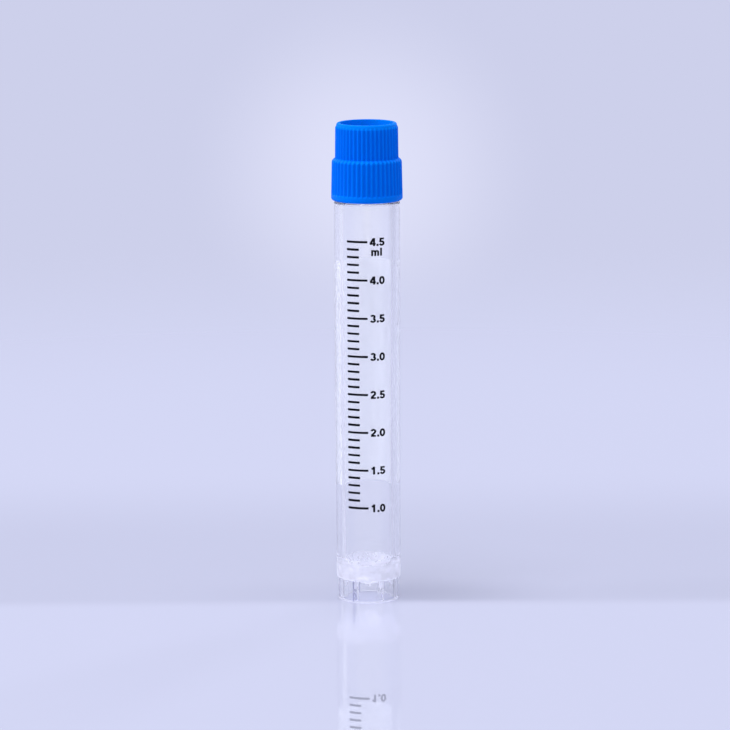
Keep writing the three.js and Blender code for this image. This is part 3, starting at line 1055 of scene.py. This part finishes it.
# %% [markdown]
# ## Silicone
#
# The gasket is a milky silicone. It sits deep in the cap, where little of it is ever seen. Light could
# be scattered under its face, but the ring is too small for that to show, so a soft cloudy colour and
# a fine relief are enough.

# %% Silicone
SILICONE_WHITE = (0.80, 0.80, 0.78)
SILICONE_GREY = (0.74, 0.74, 0.72)


def silicone():
    finish = Finish(bpy.data.materials.new("silicone"))
    cloud = finish.noise(700, detail=2)
    surface = finish.node("ShaderNodeBsdfPrincipled", None, {
        "Base Color": finish.blend(finish.ramp(cloud, 0.3, 0.7), SILICONE_WHITE, SILICONE_GREY),
        "Roughness": 0.55,
        "IOR": 1.41,
        "Normal": finish.bump(cloud, 0.01 * MM, 0.4),
    })
    return finish.close(surface)


# %% [markdown]
# ## Inks
#
# The scale is printed in black with a touch of blue, a little thinner in places. The writing field is
# a matt white that takes a pencil, so it has the fine tooth of a filled ink. Its film is thin, and
# light from the far side shines through it, so most of it is a translucent shader. An opaque white
# would be grey when seen from the side that no lamp reaches.

# %% Black ink
def black_ink():
    finish = Finish(bpy.data.materials.new("black_ink"))
    density = finish.noise(2600, detail=2)
    surface = finish.node("ShaderNodeBsdfPrincipled", None, {
        "Base Color": finish.blend(finish.ramp(density, 0.5, 0.85), linear(2, 3, 10), linear(14, 16, 28)),
        "Roughness": finish.ramp(density, 0.3, 0.7, 0.45, 0.6),
        "Specular IOR Level": 0.12,
        "Normal": finish.bump(density, 0.003 * MM, 0.4),
    })
    return finish.close(surface)


# %% White ink
THROUGH_SHARE = 0.8


def white_ink():
    finish = Finish(bpy.data.materials.new("white_ink"))
    tooth = finish.noise(6000, detail=3)
    streak = finish.noise(220, detail=2)
    shade = finish.blend(finish.ramp(streak, 0.3, 0.7), linear(251, 252, 255), linear(248, 249, 254))
    face = finish.node("ShaderNodeBsdfPrincipled", None, {
        "Base Color": shade,
        "Roughness": 0.7,
        "Specular IOR Level": 0.2,
        "Normal": finish.bump(tooth, 0.006 * MM, 0.5),
    })
    through = finish.node("ShaderNodeBsdfTranslucent", None, {"Color": linear(250, 251, 255)})
    return finish.close(finish.layer(THROUGH_SHARE, face, through))


# %% [markdown]
# ## Putting the finishes on
#
# Each piece gets its material and the body that it moves with. The skins of the tube, gasket and cap
# stand for the plain solids of those names, which stay hidden for the physics.

# %% Put the finishes on
ink = black_ink()
for piece, material, body, slot in (
    (tube, clear_plastic(), "vial", "tube"),
    (gasket, silicone(), "lift", "gasket"),
    (cap, blue_plastic(), "cap", "cap"),
    (ticks, ink, "vial", "tube"),
    (numbers, ink, "vial", "tube"),
    (field, white_ink(), "vial", "tube"),
):
    piece.data.materials.clear()
    piece.data.materials.append(material)
    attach(piece, body)
    print(piece.name, "in", material.name, "rides on", body)
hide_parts("tube")
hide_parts("gasket")
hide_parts("cap")

# %% [markdown]
# ## Floor
#
# The vial stands on a sheet of glossy pale acrylic, which mirrors it sharply at this low angle. So the
# sheet is a mix of a matt colour, which takes the shadow, and a plain mirror. A little dusk lies on
# it behind the vial and beside the foot, where the vial keeps the light away. Lamps could cast it,
# but soft lamps cast it too weakly. Further out the sheet fades into surroundings of its own colour,
# so that no edge shows.

# %% Acrylic
FLOOR_WHITE = linear(192, 195, 221)
DUSK = linear(60, 62, 90)
MIRROR_SHARE = 0.47
DUSK_BEHIND = 0.1
DUSK_BESIDE = 0.17
FADE_START = 0.20
FADE_END = 0.50


def acrylic():
    finish = Finish(bpy.data.materials.new("pale_acrylic"))
    matt = finish.node("ShaderNodeBsdfDiffuse", None, {"Color": FLOOR_WHITE})
    mirror = finish.node("ShaderNodeBsdfGlossy", None, {"Color": (1.0, 1.0, 1.0), "Roughness": 0.0})
    across, depth = finish.part(0), finish.part(1)
    behind = finish.ramp(depth, -9 * MM, -1 * MM) * finish.ramp(depth, 125 * MM, 50 * MM)
    beside = finish.ramp(finish.unsigned(across), 45 * MM, 3 * MM) * finish.ramp(depth, 18 * MM, 3 * MM)
    beside = beside * finish.ramp(depth, -6 * MM, -1 * MM) * finish.ramp(across, -6 * MM, 8 * MM, 0.3, 1.0)
    dusk = finish.node("ShaderNodeBsdfDiffuse", None, {"Color": DUSK})
    glossy = finish.layer(MIRROR_SHARE, matt, mirror)
    sheet = finish.layer(behind * DUSK_BEHIND + beside * DUSK_BESIDE, glossy, dusk)
    clear = finish.node("ShaderNodeBsdfTransparent", None, {"Color": (1.0, 1.0, 1.0)})
    distance = finish.node("ShaderNodeVectorMath", {"operation": "LENGTH"}, {0: finish.place()}, out=1)
    return finish.close(finish.layer(finish.ramp(distance, FADE_START, FADE_END), sheet, clear))


# %% Floor
FLOOR_RADIUS = 1.4
FLOOR_DROP = 0.02 * MM
FLOOR_CORNERS = 96

floor_work = bmesh.new()
bmesh.ops.create_circle(floor_work, cap_ends=True, radius=FLOOR_RADIUS, segments=FLOOR_CORNERS)
floor_mesh = bpy.data.meshes.new("floor")
floor_work.to_mesh(floor_mesh)
floor_work.free()
floor = bpy.data.objects.new("floor", floor_mesh)
floor.location.z = -FLOOR_DROP
bpy.context.scene.collection.objects.link(floor)
floor.data.materials.append(acrylic())
print("floor", 2 * FLOOR_RADIUS, "m across")

# %% [markdown]
# ## Surroundings
#
# Clear plastic and a mirror show hardly anything but what stands round them. So camera, mirror and
# glass rays see pale walls: a soft glow behind the vial, a paler wall on the left, a darker one on
# the right, a white one in front, and all of it a little darker above the horizon. A room could be
# built for that, but the direction of a ray in the world does the same and casts no shadows. All
# other rays see a plain sky, which lights the object evenly.

# %% World
SKY = (0.95, 0.96, 1.0)
SKY_STRENGTH = 0.60
BACKGROUND = linear(205, 208, 235)
NEAR_WALL = linear(218, 221, 249)
UPPER_WALL = linear(200, 203, 231)
LEFT_WALL = linear(225, 228, 252)
RIGHT_WALL = linear(201, 204, 232)
FRONT_WALL = linear(246, 248, 255)
FRONT_DIMMING = 0.6
GLOW = linear(223, 225, 249)
GLOW_PITCH = math.radians(7.24)
GLOW_AT = Vector((0, math.cos(GLOW_PITCH), -math.sin(GLOW_PITCH)))
GLOW_FULL = 0.0047
GLOW_END = 0.0448


def walls(finish, towards, by_camera, by_plastic):
    """The colour of the surroundings in a direction."""
    across, ahead, up = (finish.split(towards, axis) for axis in range(3))
    beside = finish.ramp(finish.unsigned(across), 0.1, 0.13)
    off_background = finish.node("ShaderNodeMath", {"operation": "MAXIMUM"}, {0: beside, 1: by_plastic})
    wall = finish.blend(finish.ramp(up, 0.0, 0.1), NEAR_WALL, UPPER_WALL)
    middle = finish.blend(off_background, BACKGROUND, wall)
    leftwards = finish.blend(finish.ramp(across, -0.5, -0.75), middle, LEFT_WALL)
    sides = finish.blend(finish.ramp(across, 0.2, 0.65), leftwards, RIGHT_WALL)
    in_front = finish.ramp(ahead, -0.3, -0.7) * (1 - FRONT_DIMMING * by_camera)
    return finish.blend(in_front, sides, FRONT_WALL)


def surroundings():
    finish = Finish(bpy.data.worlds.new("surroundings"))
    towards = finish.node("ShaderNodeTexCoord", out=0)
    by_camera, by_mirror, by_plastic = (finish.node("ShaderNodeLightPath", out=i) for i in (0, 3, 6))
    away = finish.node("ShaderNodeVectorMath", {"operation": "DISTANCE"}, {0: towards, 1: GLOW_AT}, out=1)
    backdrop = walls(finish, towards, by_camera, by_plastic)
    shade = finish.blend(finish.ramp(away, GLOW_FULL, GLOW_END), GLOW, backdrop)
    sky = finish.node("ShaderNodeBackground", None, {"Color": SKY, "Strength": SKY_STRENGTH})
    seen = finish.node("ShaderNodeBackground", None, {"Color": shade, "Strength": 1.0})
    rays = by_camera + by_mirror + by_plastic
    seen_by = finish.node("ShaderNodeMath", {"operation": "MINIMUM"}, {0: rays, 1: 1.0})
    return finish.close(finish.layer(seen_by, sky, seen))


bpy.context.scene.world = surroundings()

# %% [markdown]
# ## Lamps
#
# A soft lamp on the left gives the cap its bright side and lays a weak shadow to the right. A large
# one high in front lights the tops of the rim and the cone. One behind shines through the writing
# field, and a weak one on the right lifts the far edge. Only the lamp above shows in mirrors, and
# none shows through the plastic, where its bright square would look like a mark on the tube.

# %% Lamps
LAMP_TARGET = Vector((0, 0, 0.05))


def soft_lamp(name, at, size, power, seen=False):
    """A square lamp that looks at the middle of the vial."""
    data = bpy.data.lights.new(name, "AREA")
    data.shape = "SQUARE"
    data.size = size
    data.energy = power
    lamp = bpy.data.objects.new(name, data)
    lamp.location = at
    lamp.rotation_euler = (LAMP_TARGET - Vector(at)).to_track_quat("-Z", "Y").to_euler()
    lamp.visible_glossy = seen
    lamp.visible_transmission = False
    bpy.context.scene.collection.objects.link(lamp)
    print(name, power, "W at", round((LAMP_TARGET - Vector(at)).length, 2), "m")


soft_lamp("left_lamp", (-1.16, -0.06, 0.48), 0.26, 5.2)
soft_lamp("top_lamp", (-0.26, -0.36, 1.50), 0.60, 13.0, seen=True)
soft_lamp("back_lamp", (0.72, 1.09, 0.55), 0.40, 7.2)
soft_lamp("right_lamp", (1.16, 0.00, 0.45), 0.35, 0.5)

# %% [markdown]
# ## Settings
#
# Colours are shown as they are written. A ray crosses many walls before it has left the tube, so it
# may bend more often than it usually would.

# %% View settings
MOST_BENDS = 32

bpy.context.scene.view_settings.view_transform = "Standard"
for limit in ("max_bounces", "transmission_bounces", "transparent_max_bounces"):
    setattr(bpy.context.scene.cycles, limit, MOST_BENDS)
